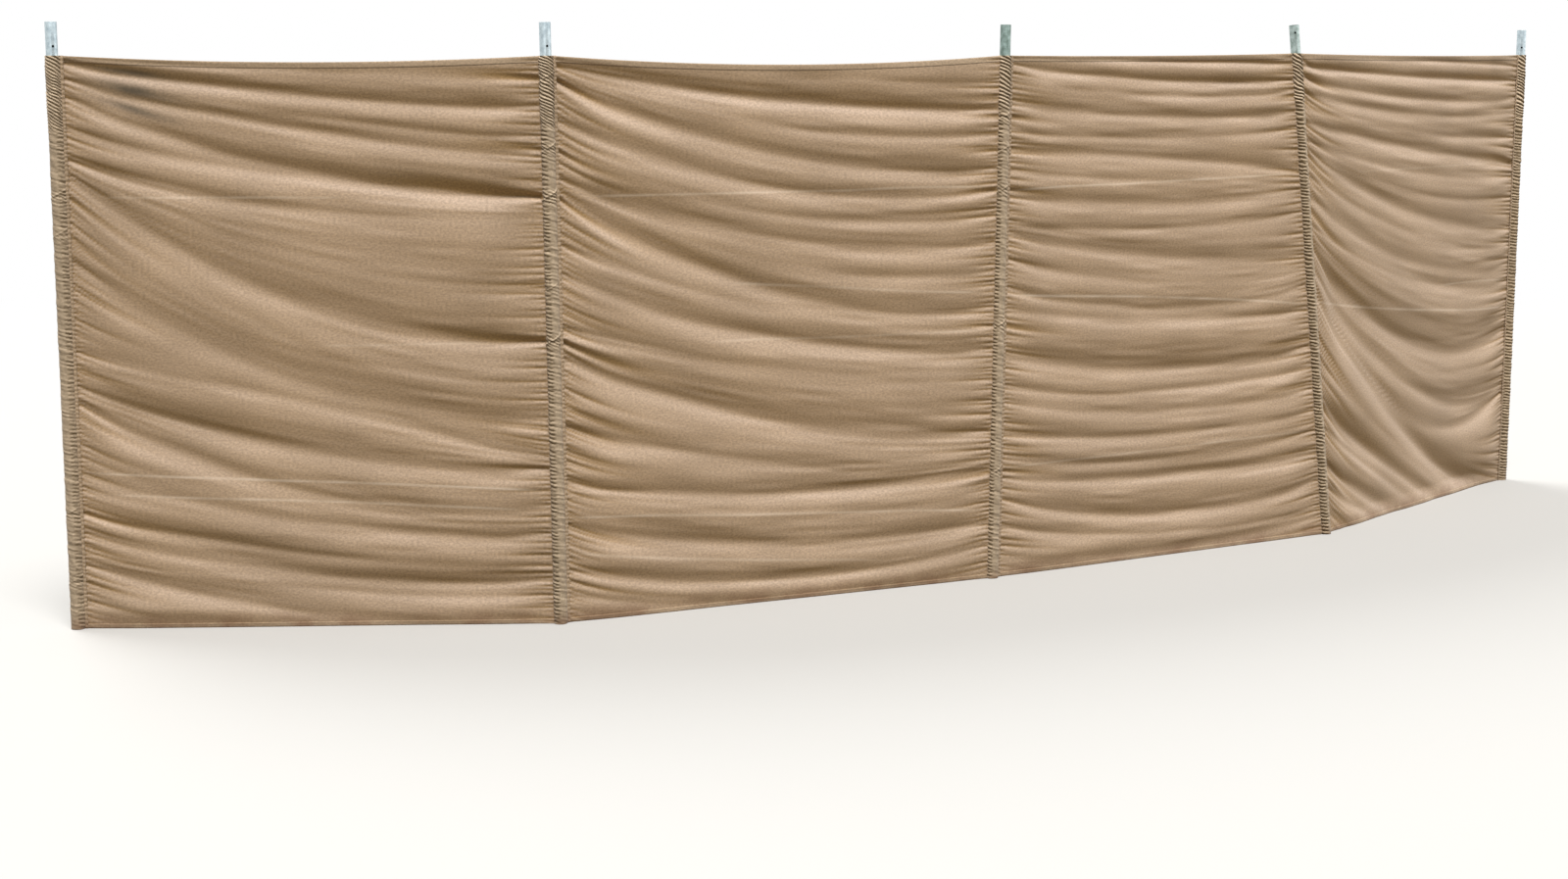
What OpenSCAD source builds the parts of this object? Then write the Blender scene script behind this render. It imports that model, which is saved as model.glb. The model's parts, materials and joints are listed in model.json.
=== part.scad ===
// Beach windbreak: four bays of canvas between five galvanised tube poles.
// Millimetres. The poles stand in the ground, and what shows above the ground is modelled.
// Origin: on the ground in the middle of pole 3. +X runs from pole 1 towards pole 5,
// the front faces -Y, and +Z is up.

/* [Cloth] */
// Height of the cloth where a pole holds it
cloth_h = 1400; // [900:5:1800]
// Thickness of the cloth, drawn heavier than canvas so that it is a sound solid
cloth_t = 2.5; // [1:0.1:5]
// Width of the folded hem along the top edge
top_hem_w = 15; // [8:1:40]
// Width of the folded hem along the ground
bottom_hem_w = 11; // [6:1:40]
// How much thicker than the cloth a hem is, over both faces
hem_extra = 1.5; // [0.5:0.1:4]
// Width of the stitched flange that closes a sleeve
flange_w = 8; // [4:0.5:20]
// Sag of the top edge in the middle of bay 1
sag_1 = 15; // [0:1:60]
// Sag of the top edge in the middle of bay 2
sag_2 = 22; // [0:1:60]
// Sag of the top edge in the middle of bay 3
sag_3 = 4; // [0:1:60]
// Sag of the top edge in the middle of bay 4
sag_4 = 4; // [0:1:60]
// How far the cloth rides up pole 4 above its height on the others
ride_4 = 14; // [0:1:60]

/* [Poles] */
// Outer diameter of a pole tube
pole_d = 28; // [18:0.5:42]
// Wall of a pole tube
pole_wall = 1; // [0.8:0.1:3]
// Length of pole that stands out above the cloth
pole_out = 80; // [70:1:300]
// Diameter of the hole near the top of a pole
hole_d = 6; // [3:0.5:8]
// Drop from the top of pole 1 to its hole
hole_drop_1 = 58; // [15:1:65]
// Drop from the top of pole 2 to its hole
hole_drop_2 = 57; // [15:1:65]
// Drop from the top of pole 3 to its hole
hole_drop_3 = 37; // [15:1:65]
// Drop from the top of pole 4 to its hole
hole_drop_4 = 21; // [15:1:65]
// Drop from the top of pole 5 to its hole
hole_drop_5 = 56; // [15:1:65]
// Length of a ground spike's shank inside its pole
shank_l = 60; // [30:1:120]

/* [Bays] */
// Distance between poles 1 and 2 at the ground
bay_1 = 1190; // [700:5:1600]
// Distance between poles 2 and 3 at the ground
bay_2 = 1245; // [700:5:1600]
// Distance between poles 3 and 4 at the ground
bay_3 = 1210; // [700:5:1600]
// Distance between poles 4 and 5 at the ground
bay_4 = 1225; // [700:5:1600]
// Turn of the wall at pole 2, in degrees
turn_2 = 23; // [0:1:45]
// Turn of the wall at pole 3, in degrees
turn_3 = 5; // [0:1:45]
// Turn of the wall at pole 4, in degrees
turn_4 = 19; // [0:1:45]

/* [Leans] */
// Lean of pole 2 along the wall towards pole 5, in degrees
lean_2 = -0.7; // [-8:0.1:8]
// Lean of pole 3 along the wall towards pole 5, in degrees
lean_3 = 0.8; // [-8:0.1:8]
// Lean of pole 4 along the wall towards pole 5, in degrees
lean_4 = -6; // [-8:0.1:8]
// Lean of pole 4 towards the back, in degrees
back_4 = 2; // [-5:0.1:5]

/* [Fits] */
// Slack between a pole and its sleeve, all round
sleeve_gap = 0.3; // [0.1:0.1:0.9]
// Gap between pieces of cloth that are sewn together
sewn_gap = 0.2; // [0.05:0.05:0.9]
// Slack between a spike's shank and its tube, all round
shank_gap = 0.05; // [0.02:0.01:0.3]

/* [Hidden] */
$fn = 64;

// Lists are counted from 0, so pole 1 is pole[0] and bay 1 is bay[0].
bay = [bay_1, bay_2, bay_3, bay_4];
sag = [sag_1, sag_2, sag_3, sag_4];
lean = [0, lean_2, lean_3, lean_4, 0];
back = [0, 0, 0, back_4, 0];
hole_drop = [hole_drop_1, hole_drop_2, hole_drop_3, hole_drop_4, hole_drop_5];
// Which way each hole faces: degrees from the front, towards pole 5
hole_turn = [27, 10, 55, -42, -56];
top = [cloth_h, cloth_h, cloth_h, cloth_h + ride_4, cloth_h];

pole_r = pole_d / 2;
sleeve_r = pole_r + sleeve_gap + cloth_t;
flange_out = sleeve_r + sewn_gap + flange_w;
hem_t = cloth_t + hem_extra;
// Tubes start this far under the ground, and the ground plane then cuts them flush
dip = 10;
// Steps along a bay's sagging top edge
steps = 12;

// Direction of each bay in plan, turned so that pole 5 lies straight along X from pole 1
bay_turn = [-turn_2 - turn_3, -turn_3, 0, turn_4];
run_x = bay * [for (a = bay_turn) cos(a)];
run_y = bay * [for (a = bay_turn) sin(a)];
bay_dir = [for (a = bay_turn) a - atan2(run_y, run_x)];
along = [for (k = [0:3]) bay[k] * [cos(bay_dir[k]), sin(bay_dir[k]), 0]];
foot = [-along[1] - along[0], -along[1], [0, 0, 0], along[2], along[2] + along[3]];
// A pole faces halfway between the bays beside it
pole_dir = [
  bay_dir[0],
  (bay_dir[0] + bay_dir[1]) / 2,
  (bay_dir[1] + bay_dir[2]) / 2,
  (bay_dir[2] + bay_dir[3]) / 2,
  bay_dir[3]
];

// A pole's own frame: Z up the pole, X along the wall, Y to the back
function tip_back(v, a) = [v.x, v.y * cos(a) + v.z * sin(a), v.z * cos(a) - v.y * sin(a)];
function tip_along(v, a) = [v.x * cos(a) + v.z * sin(a), v.y, v.z * cos(a) - v.x * sin(a)];
function turn(v, a) = [v.x * cos(a) - v.y * sin(a), v.x * sin(a) + v.y * cos(a), v.z];
function vector_at(k, v) = turn(tip_along(tip_back(v, back[k]), lean[k]), pole_dir[k]);

// Direction of bay b as seen in pole k's frame
function aim(k, b) = bay_dir[b] - pole_dir[k];
// The line that bay b's cloth starts from beside pole k, at height z; side is 1 or -1
function edge_reach(side) = side > 0 ? flange_out + sewn_gap : sleeve_r + sewn_gap;
function edge_point(k, b, side, reach, z) =
  let (start = foot[k] + side * reach * vector_at(k, [cos(aim(k, b)), sin(aim(k, b)), 0]))
  let (axis = vector_at(k, [0, 0, 1]))
  start + axis * (z - start.z) / axis.z;
// The last bay's far edge is sewn to a flange too, because pole 5's sleeve closes towards it
function far_reach(b) = b == 3 ? flange_out + sewn_gap : sleeve_r + sewn_gap;
function near_reach(b) = flange_out + sewn_gap;
function cloth_point(b, u, z) =
  (1 - u) * edge_point(b, b, 1, near_reach(b), z) + u * edge_point(b + 1, b, -1, far_reach(b), z);
function cloth_normal(b, u) =
  let (n = (1 - u) * vector_at(b, [-sin(aim(b, b)), cos(aim(b, b)), 0])
    + u * vector_at(b + 1, [-sin(aim(b + 1, b)), cos(aim(b + 1, b)), 0]))
  n / norm(n);
// Height of the cloth's top edge at u, from 0 at one pole to 1 at the next
function pole_top_z(k) = top[k] * vector_at(k, [0, 0, 1]).z;
function edge_z(b, u) =
  (1 - u) * pole_top_z(b) + u * pole_top_z(b + 1) - 4 * sag[b] * u * (1 - u);

module at_pole(k) {
  translate(foot[k]) rotate([-back[k], lean[k], pole_dir[k]]) children();
}

// What is left of a pole's pieces above the ground
module above_ground(k) {
  room = 2 * (cloth_h + ride_4 + pole_out);
  difference() {
    at_pole(k) children();
    translate([foot[k].x - room / 2, foot[k].y - room / 2, -room]) cube(room);
  }
}

// A round bar from z upwards; its seam is turned to the back, away from the way the poles lean
module bar(l, r, z) {
  translate([0, 0, z]) rotate([0, 0, 90]) cylinder(h = l, r = r);
}

module pole(k) {
  pole_l = top[k] + pole_out;
  color("lightsteelblue") above_ground(k) difference() {
    bar(pole_l + dip, pole_r, -dip);
    bar(pole_l + 3 * dip, pole_r - pole_wall, -2 * dip);
    translate([0, 0, pole_l - hole_drop[k]]) rotate([90, 0, hole_turn[k]])
      cylinder(h = pole_d, r = hole_d / 2);
  }
}

module spike(k) {
  color("dimgray") above_ground(k) bar(shank_l + dip, pole_r - pole_wall - shank_gap, -dip);
}

module sleeve(k) {
  color("tan") above_ground(k) difference() {
    bar(top[k] + dip, sleeve_r, -dip);
    bar(top[k] + 3 * dip, pole_r + sleeve_gap, -2 * dip);
  }
}

// The stitched strip beside a sleeve, on the side of bay b; side is 1 or -1
module flange(k, b, side) {
  color("darkkhaki") above_ground(k) rotate([0, 0, aim(k, b)])
    translate([side * (sleeve_r + sewn_gap + flange_w / 2), 0, top[k] / 2 - dip / 2])
      cube([flange_w, hem_t, top[k] + dip], center = true);
}

// A strip of bay b's cloth from the heights in low to the heights in high
module cloth_strip(b, low, high, thick) {
  points = [
    for (i = [0:steps], side = [-1, 1], z = [low[i], high[i]])
      cloth_point(b, i / steps, z) + side * thick / 2 * cloth_normal(b, i / steps)
  ];
  last = 4 * steps;
  faces = [
    [0, 2, 3], [0, 3, 1],
    [last + 2, last, last + 1], [last + 2, last + 1, last + 3],
    for (i = [0:steps - 1]) let (a = 4 * i, n = a + 4) each [
      [a, a + 1, n + 1], [a, n + 1, n],
      [a + 2, n + 2, n + 3], [a + 2, n + 3, a + 3],
      [a + 1, a + 3, n + 3], [a + 1, n + 3, n + 1],
      [a, n, n + 2], [a, n + 2, a + 2]
    ]
  ];
  polyhedron(points, faces);
}

function level(z) = [for (i = [0:steps]) z];
function below_top(b, drop) = [for (i = [0:steps]) edge_z(b, i / steps) - drop];

module panel(b) {
  color("burlywood") cloth_strip(b, level(bottom_hem_w), below_top(b, top_hem_w), cloth_t);
}

module top_hem(b) {
  color("tan") cloth_strip(b, below_top(b, top_hem_w), below_top(b, 0), hem_t);
}

module bottom_hem(b) {
  color("rosybrown") cloth_strip(b, level(0), level(bottom_hem_w), hem_t);
}

for (k = [0:4]) {
  pole(k);
  spike(k);
  sleeve(k);
}
for (k = [0:3]) {
  flange(k, k, 1);
  panel(k);
  top_hem(k);
  bottom_hem(k);
}
flange(4, 3, -1);  // flange_5
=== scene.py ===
# %% [markdown]
# A beach windbreak: four bays of tan canvas between five galvanised tubes. The canvas hangs slack,
# so nearly all of its character is in its folds. This lesson loads the measured frame, works out
# where each bay of cloth hangs, and then builds the cloth, the hems, the sleeves, the stitching and
# the tubes.

# %% Load the frame
import json
import math
import bmesh
import bpy
import numpy as np
from mathutils import Matrix, Vector


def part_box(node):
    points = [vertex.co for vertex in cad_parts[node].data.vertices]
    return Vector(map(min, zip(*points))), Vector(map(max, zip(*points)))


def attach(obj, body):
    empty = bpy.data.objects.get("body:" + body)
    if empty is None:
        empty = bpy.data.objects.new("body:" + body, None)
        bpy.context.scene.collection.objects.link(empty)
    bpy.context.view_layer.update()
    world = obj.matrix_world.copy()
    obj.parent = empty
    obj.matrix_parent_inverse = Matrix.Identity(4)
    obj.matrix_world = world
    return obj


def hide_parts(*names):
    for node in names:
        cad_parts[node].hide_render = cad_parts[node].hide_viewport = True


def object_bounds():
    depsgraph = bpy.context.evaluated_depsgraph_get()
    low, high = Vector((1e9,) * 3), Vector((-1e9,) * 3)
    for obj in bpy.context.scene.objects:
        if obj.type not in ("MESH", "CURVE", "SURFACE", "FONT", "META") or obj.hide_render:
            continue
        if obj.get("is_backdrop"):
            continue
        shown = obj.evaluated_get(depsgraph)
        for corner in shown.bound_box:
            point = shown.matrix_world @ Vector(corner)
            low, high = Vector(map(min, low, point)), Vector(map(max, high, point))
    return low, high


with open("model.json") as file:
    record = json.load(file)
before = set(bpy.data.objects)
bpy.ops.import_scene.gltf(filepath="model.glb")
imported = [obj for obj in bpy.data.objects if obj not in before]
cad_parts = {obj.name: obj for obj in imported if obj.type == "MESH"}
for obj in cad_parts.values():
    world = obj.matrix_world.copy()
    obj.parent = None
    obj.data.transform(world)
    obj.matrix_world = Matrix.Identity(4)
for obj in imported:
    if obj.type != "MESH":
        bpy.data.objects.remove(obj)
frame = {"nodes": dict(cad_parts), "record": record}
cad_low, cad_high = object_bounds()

scene = bpy.context.scene
scene.view_settings.view_transform = "Standard"
print("nodes in the frame:", len(frame["nodes"]))

# %% [markdown]
# The camera stands in front of the left half of the wall at chest height, and looks a little down
# and to the right, so the far bays recede.

# %% Camera
lens = bpy.data.cameras.new("camera")
lens.lens = 56.4
lens.sensor_width = 36
lens.clip_end = 200
camera = bpy.data.objects.new("camera", lens)
camera.location = (-3.513, -5.532, 1.405)
look_down, look_right = 8.93, 27.48
camera.rotation_euler = (math.radians(90 - look_down), 0, math.radians(-look_right))
scene.collection.objects.link(camera)
scene.camera = camera
print("camera: a lens of", lens.lens, "mm at a height of", camera.location.z, "m")

# %% [markdown]
# Soft studio light. A broad light from high in front and a little to the left makes the upper side
# of every fold bright and its under side dark. It is a sun lamp with a wide angle, which lights a wall
# of nearly five metres alike from end to end. A weak one at the right rounds the tubes and sleeves, and
# another behind lights the back.

# %% Lamps


def add_sun(name, strength, width_deg, place):
    """A sun lamp that shines from place towards the origin, as wide as width_deg in the sky."""
    data = bpy.data.lights.new(name, "SUN")
    data.energy = strength
    data.angle = math.radians(width_deg)
    lamp = bpy.data.objects.new(name, data)
    lamp.location = place
    lamp.rotation_euler = (-Vector(place)).to_track_quat("-Z", "Y").to_euler()
    scene.collection.objects.link(lamp)


add_sun("sky_lamp", 4.25, 28, (-0.8, -2.5, 5.6))
add_sun("side_lamp", 0.6, 40, (5.0, -2.0, 1.6))
add_sun("back_lamp", 2.3, 40, (-1.2, 3.6, 4.2))
print("lamps:", sorted(data.name for data in bpy.data.lights))

# %% [markdown]
# One small function adds a shader node, sets it and links its inputs, and every material below is
# made with it. Colours are written as sRGB hex values, which another function turns to linear. Two
# more turn a bmesh into a mesh, and give the matrix that stands a shape along a direction.

# %% Helpers


def linear(hex_colour):
    """A linear RGBA colour from an sRGB hex value such as 'b8986f'."""
    parts = [int(hex_colour[i:i + 2], 16) / 255 for i in (0, 2, 4)]
    return [c / 12.92 if c <= 0.04045 else ((c + 0.055) / 1.055) ** 2.4 for c in parts] + [1.0]


def add_node(tree, kind, inputs=None, **settings):
    """Adds a shader node of that kind. An input is a value, or another node's output to link."""
    node = tree.nodes.new("ShaderNode" + kind)
    for key, value in settings.items():
        setattr(node, key, value)
    for key, value in (inputs or {}).items():
        if isinstance(value, bpy.types.NodeSocket):
            tree.links.new(value, node.inputs[key])
        else:
            node.inputs[key].default_value = value
    return node


def new_material(name):
    """An empty material, its node tree and its Principled shader."""
    material = bpy.data.materials.new(name)
    material.use_nodes = True
    tree = material.node_tree
    return material, tree, tree.nodes["Principled BSDF"]


def mesh_from(bm, name):
    """Turns a bmesh into a mesh and frees it."""
    mesh = bpy.data.meshes.new(name)
    bm.to_mesh(mesh)
    bm.free()
    return mesh


def placed(spot, direction):
    """The matrix that puts a shape at spot with its z axis along direction."""
    turn = Vector(direction).to_track_quat("Z", "Y").to_matrix().to_4x4()
    return Matrix.Translation(Vector(spot)) @ turn


# %% [markdown]
# The floor is a plain pale plane that fades to the white backdrop a few metres away. The world is
# white to the camera, in mirrors and through glass, but lights the scene with a dimmer, bluer sky, so
# the backdrop can be pure white without washing the cloth out. The floor too is darker to bounced
# light, which keeps the undersides of the folds dark.

# %% Floor and backdrop
world = bpy.data.worlds.new("backdrop")
scene.world = world
world.use_nodes = True
tree = world.node_tree
tree.nodes.clear()
path = add_node(tree, "LightPath")
seen = path.outputs["Is Camera Ray"]
for ray in ("Is Glossy Ray", "Is Transmission Ray"):
    seen = add_node(tree, "Math", {0: seen, 1: path.outputs[ray]}, operation="MAXIMUM").outputs[0]
light = add_node(tree, "Background", {"Color": linear("eef2f6"), "Strength": 0.42})
white = add_node(tree, "Background", {"Color": (1, 1, 1, 1), "Strength": 1.0})
mixed = add_node(tree, "MixShader", {0: seen, 1: light.outputs[0], 2: white.outputs[0]})
add_node(tree, "OutputWorld", {0: mixed.outputs[0]})

FLOOR_HALF = 40
FADE_FROM = 4.0
FADE_TO = 9.0
floor_bm = bmesh.new()
bmesh.ops.create_grid(floor_bm, x_segments=1, y_segments=1, size=FLOOR_HALF)
floor_mesh = mesh_from(floor_bm, "floor")
floor = bpy.data.objects.new("floor", floor_mesh)
scene.collection.objects.link(floor)
floor_paint, tree, shader = new_material("matt_studio_floor")
shader.inputs["Roughness"].default_value = 0.9
seen_by_camera = add_node(tree, "LightPath").outputs["Is Camera Ray"]
pale = add_node(tree, "Mix", {"Factor": seen_by_camera, 6: linear("6c6862"), 7: linear("b3b1ad")},
                data_type="RGBA")
tree.links.new(pale.outputs[2], shader.inputs["Base Color"])
spot = add_node(tree, "TexCoord").outputs["Object"]
away = add_node(tree, "VectorMath", {0: spot}, operation="LENGTH").outputs["Value"]
blend = add_node(tree, "MapRange", {0: away, 1: FADE_FROM, 2: FADE_TO}, interpolation_type="SMOOTHSTEP")
glow = add_node(tree, "Emission", {"Color": (1, 1, 1, 1), "Strength": 1.0})
share = add_node(tree, "Math", {0: blend.outputs[0], 1: seen_by_camera}, operation="MULTIPLY")
mixed = add_node(tree, "MixShader", {0: share.outputs[0], 1: shader.outputs[0], 2: glow.outputs[0]})
tree.links.new(mixed.outputs[0], tree.nodes["Material Output"].inputs[0])
floor_mesh.materials.append(floor_paint)
floor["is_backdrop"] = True
print("the floor fades out from", FADE_FROM, "to", FADE_TO, "m")

# %% [markdown]
# Where the cloth hangs. Each pole's foot comes from the record and its head from the top of its
# sleeve, so the lean of every pole is the frame's own. Lists count from 0: pole 1 is pole 0 here.

# %% Poles and bays, from the frame
POLES = range(5)
BAYS = range(4)
# The top few millimetres of a sleeve, whose middle is the pole's middle there
TOP_RING = 0.006
mounts = {m["name"]: m for m in frame["record"]["mounts"]}


def node_points(name):
    """The corners of a CAD node's mesh, as an array."""
    return np.array([v.co for v in frame["nodes"][name].data.vertices])


def ring_centre(points, low, high):
    """Middle of the points between two heights."""
    ring = points[(points[:, 2] >= low) & (points[:, 2] <= high)]
    return (ring.max(0) + ring.min(0)) / 2


foot = np.array([mounts[f"foot_{k + 1}"]["pos_m"] for k in POLES])
head = []
for k in POLES:
    points = node_points(f"sleeve_{k + 1}")
    head.append(ring_centre(points, points[:, 2].max() - TOP_RING, 9))
head = np.array(head)
sleeve_length = np.linalg.norm(head - foot, axis=1)
axis = (head - foot) / sleeve_length[:, None]
bay_length = np.linalg.norm(np.diff(foot, axis=0), axis=1)
along = np.diff(foot, axis=0) / bay_length[:, None]
front = np.stack([along[:, 1], -along[:, 0], along[:, 2]], axis=1)
sleeve_r = (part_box("sleeve_1")[1].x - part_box("sleeve_1")[0].x) / 2
print("bays (m):", bay_length.round(3), "sleeve radius:", round(sleeve_r, 4))

TOP_Z = head[:, 2]
# A bay's top edge hangs this far below the straight line between its sleeves
sag = []
for b in BAYS:
    hem = node_points(f"top_hem_{b + 1}")
    reach = (hem - foot[b]) @ along[b] / bay_length[b]
    middle = hem[np.abs(reach - 0.5) < 0.05]
    sag.append((TOP_Z[b] + TOP_Z[b + 1]) / 2 - middle[:, 2].max())
print("sag of the top edges (mm):", (np.array(sag) * 1000).round(1))

# How far from a pole's axis things lie, in metres
FLANGE = (0.0165, 0.0255)
UNDER_FLANGE = 0.021
BESIDE_SLEEVE = 0.0145
near_reach = [UNDER_FLANGE] * 4
far_reach = [BESIDE_SLEEVE] * 3 + [UNDER_FLANGE]


def cloth_base(b, u, h):
    """Points on bay b's flat cloth. u runs from 0 to 1 along the bay and h is the height."""
    near = foot[b] + axis[b] / axis[b][2] * h[:, None] + along[b] * near_reach[b]
    far = foot[b + 1] + axis[b + 1] / axis[b + 1][2] * h[:, None] - along[b] * far_reach[b]
    return near * (1 - u[:, None]) + far * u[:, None]


def cloth_top(b, u):
    """Height of bay b's top edge at u."""
    return TOP_Z[b] * (1 - u) + TOP_Z[b + 1] * u - sag[b] * 4 * u * (1 - u)


# %% [markdown]
# The folds. Slack canvas between two posts falls into swooping folds, and each fold keeps to one
# line across the bay. So the folds are written as lines, each by its height at the left pole, in
# the middle and at the right pole, in millimetres. Between two lines the cloth follows both, which
# gives every point a fold height of its own, and all smaller wrinkles are laid along that. A cloth
# simulation would give other folds than this windbreak has.

# %% Fold lines of each bay
# (left, middle, right, half width, depth at the left, depth at the right): a fold's dark under side
FOLDS = [
    [(1420, 1404, 1420, 20, 0, 0), (1400, 1370, 1346, 9, 1, 0.5), (1386, 1311, 1282, 15, 7, 5.5),
     (1366, 1262, 1208, 11, 0, 3.5), (1346, 1228, 1163, 15, 5.5, 4), (1308, 1134, 1068, 20, 6, 8.5),
     (1228, 1112, 1045, 15, 4, 0), (1157, 1040, 1015, 18, 4.5, 1), (1118, 806, 712, 28, 6, 6),
     (910, 617, 525, 28, 4.5, 5), (700, 565, 425, 17, 1.5, 4), (605, 453, 395, 24, 5, 5),
     (568, 346, 300, 25, 6.5, 3), (388, 270, 230, 19, 2, 4.5), (292, 190, 155, 16, 3.5, 1),
     (245, 140, 116, 19, 3, 6), (190, 98, 76, 14, 0, 3.5), (165, 42, -20, 20, 5.5, 2),
     (0, -60, -90, 30, 0, 0)],
    [(1420, 1402, 1420, 20, 0, 0), (1400, 1352, 1335, 10, 0, 1), (1380, 1296, 1265, 17, 7, 7),
     (1366, 1228, 1196, 12, 0, 4), (1348, 1158, 1108, 21, 8, 6.5), (1250, 1074, 1050, 17, 5, 3),
     (1180, 1010, 985, 14, 0, 3.5), (1108, 950, 915, 22, 4, 4.5), (1090, 880, 835, 14, 0, 3),
     (1072, 814, 745, 25, 8.5, 6.5), (945, 770, 705, 16, 3.5, 0), (875, 690, 630, 21, 4.5, 6.5),
     (745, 618, 575, 17, 4, 1), (668, 482, 408, 25, 9, 5), (500, 372, 340, 18, 5, 1),
     (355, 292, 306, 19, 5, 6.5), (255, 158, 158, 19, 5.5, 5), (135, 62, 95, 14, 4.5, 3),
     (70, 5, 20, 12, 2, 2), (0, -60, -60, 30, 0, 0)],
    [(1420, 1410, 1425, 20, 0, 0), (1396, 1388, 1378, 6, 1.5, 5.5), (1378, 1340, 1332, 10, 5.5, 7),
     (1345, 1298, 1302, 9, 1, 5), (1275, 1244, 1240, 14, 5.5, 6), (1210, 1182, 1198, 11, 3.5, 2.5),
     (1160, 1128, 1080, 17, 5.5, 5.5), (1100, 1062, 1045, 11, 3, 1), (1035, 1000, 1010, 15, 6, 3),
     (960, 930, 955, 12, 3, 2.5), (938, 857, 836, 21, 5.5, 5), (865, 785, 790, 16, 4.5, 2),
     (790, 713, 745, 14, 5.5, 3), (725, 680, 672, 12, 3, 4.5), (605, 545, 566, 20, 7.5, 8),
     (525, 478, 508, 13, 4, 4), (480, 424, 440, 14, 2.5, 4), (395, 356, 374, 15, 5, 3),
     (325, 283, 315, 11, 3, 2), (272, 238, 250, 16, 7, 5), (220, 128, 170, 18, 5, 7),
     (140, 70, 92, 12, 4, 2), (50, 22, 60, 12, 2, 3.5), (0, -60, -60, 30, 0, 0)],
    [(1425, 1412, 1420, 20, 0, 0), (1396, 1384, 1366, 7, 1, 4), (1373, 1336, 1320, 10, 7, 8.5),
     (1340, 1272, 1262, 13, 8, 5), (1298, 1224, 1218, 12, 5.5, 3.5), (1258, 1168, 1138, 12, 0, 4),
     (1215, 1124, 1054, 18, 6.5, 7.5), (1165, 1050, 1012, 12, 3, 2.5), (1150, 985, 945, 12, 1, 2),
     (1132, 928, 845, 24, 6, 5.5), (1065, 850, 790, 15, 2.5, 2.5), (1005, 772, 730, 25, 7, 4),
     (920, 714, 668, 20, 4, 5), (895, 600, 560, 20, 2, 1.5), (868, 530, 515, 34, 11, 11),
     (832, 460, 430, 14, 2, 1.5), (802, 390, 325, 34, 12, 11), (772, 290, 300, 22, 0, 8),
     (738, 226, -20, 36, 11, 22), (520, 150, -110, 20, 2, 2), (395, 82, -160, 30, 15, 12),
     (330, 10, -260, 18, 6, 4), (215, -60, -330, 26, 14, 9), (140, -120, -400, 18, 8, 5),
     (62, -230, -480, 14, 4, 2), (0, -380, -650, 30, 0, 0)],
]
# Where a tie or a snag pinches a sleeve, per pole: height in millimetres and how hard
PINCHES = [
    [(1064, 0.5), (970, 0.3), (290, 0.3), (118, 0.3)],
    [(1345, 0.6), (1175, 0.6), (1060, 1.0), (837, 0.3), (708, 0.9)],
    [(1290, 0.3), (1240, 0.5), (1153, 0.4), (1048, 0.5), (687, 0.5), (292, 0.5)],
    [(1283, 0.5), (1065, 0.4), (295, 0.3)],
    [(1050, 0.6), (640, 0.3), (295, 0.4)],
]
print("fold lines of each bay:", [len(folds) for folds in FOLDS])

# %% [markdown]
# Nothing on cloth is quite regular, so the wrinkles need soft randomness. Two helpers give it, one
# along a line and one over a surface: random heights at whole numbers with soft ramps between them.
# Each call names its seed, so every run gives the same cloth.

# %% Soft steps and random heights


def smooth_step(x):
    """0 below 0, 1 above 1, and a soft ramp between."""
    x = np.clip(x, 0, 1)
    return x * x * (3 - 2 * x)


def waves(x, seed):
    """Smooth random heights from -1 to 1 along x, with a new one at each whole number."""
    cells = np.random.RandomState(seed).uniform(-1, 1, 512)
    whole = np.floor(x).astype(int)
    part = smooth_step(x - whole)
    return cells[whole % 512] * (1 - part) + cells[(whole + 1) % 512] * part


def patches(x, y, seed):
    """Smooth random heights from -1 to 1 over x and y."""
    cells = np.random.RandomState(seed).uniform(-1, 1, (128, 128))
    i, j = np.floor(x).astype(int), np.floor(y).astype(int)
    p, q = smooth_step(x - i), smooth_step(y - j)
    i, j = i % 128, j % 128
    low = cells[i, j] * (1 - p) + cells[(i + 1) % 128, j] * p
    high = cells[i, (j + 1) % 128] * (1 - p) + cells[(i + 1) % 128, (j + 1) % 128] * p
    return low * (1 - q) + high * q


print("waves at quarters of a step:", waves(np.arange(0, 1.25, 0.25), 1).round(2))

# %% [markdown]
# From three heights a fold line becomes a parabola across the bay. A point between two lines gets its
# own height in proportion, measured at mid bay, and that number stays the same all along a fold.

# %% Heights along the folds


def line_height(fold, u):
    """Height of a fold line at u: the parabola through its three heights."""
    left, middle, right = fold[:3]
    return left + (4 * middle - 3 * left - right) * u + 2 * (left - 2 * middle + right) * u * u


def fold_height(b, u, h):
    """The height in millimetres at mid bay of the fold that passes through u and h."""
    lines = np.array([line_height(fold, u) for fold in FOLDS[b]])
    middles = np.array([fold[1] for fold in FOLDS[b]], float)
    above = np.clip((lines > h * 1000).sum(0), 1, len(FOLDS[b]) - 1)
    spots = np.arange(len(u))
    upper, lower = lines[above - 1, spots], lines[above, spots]
    share = (upper - h * 1000) / np.maximum(upper - lower, 1)
    return middles[above - 1] + (middles[above] - middles[above - 1]) * share


seam_heights = fold_height(0, np.array([0.0, 0.5, 1.0]), np.full(3, 0.7))
print("the folds 700 mm up bay 1's seams and middle cross mid bay at (mm):", seam_heights.round())

# %% [markdown]
# Gathers. The seams are shorter than the cloth sewn into them, so short wrinkles fan out of each
# sleeve, every 8 to 18 mm, and about a third are long. They follow the folds once they leave the seam.
# Where a sleeve is pinched, a deeper one starts. Beside the stitches themselves sit small even puckers.

# %% Gathers and puckers
# Distance between the puckers beside a seam, and how far from it they die out, in millimetres
PUCKER = 10.5
PUCKER_REACH = 14
# How far from its seam a gather has turned to run with the folds, in millimetres
TURN_BY = 90
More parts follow.
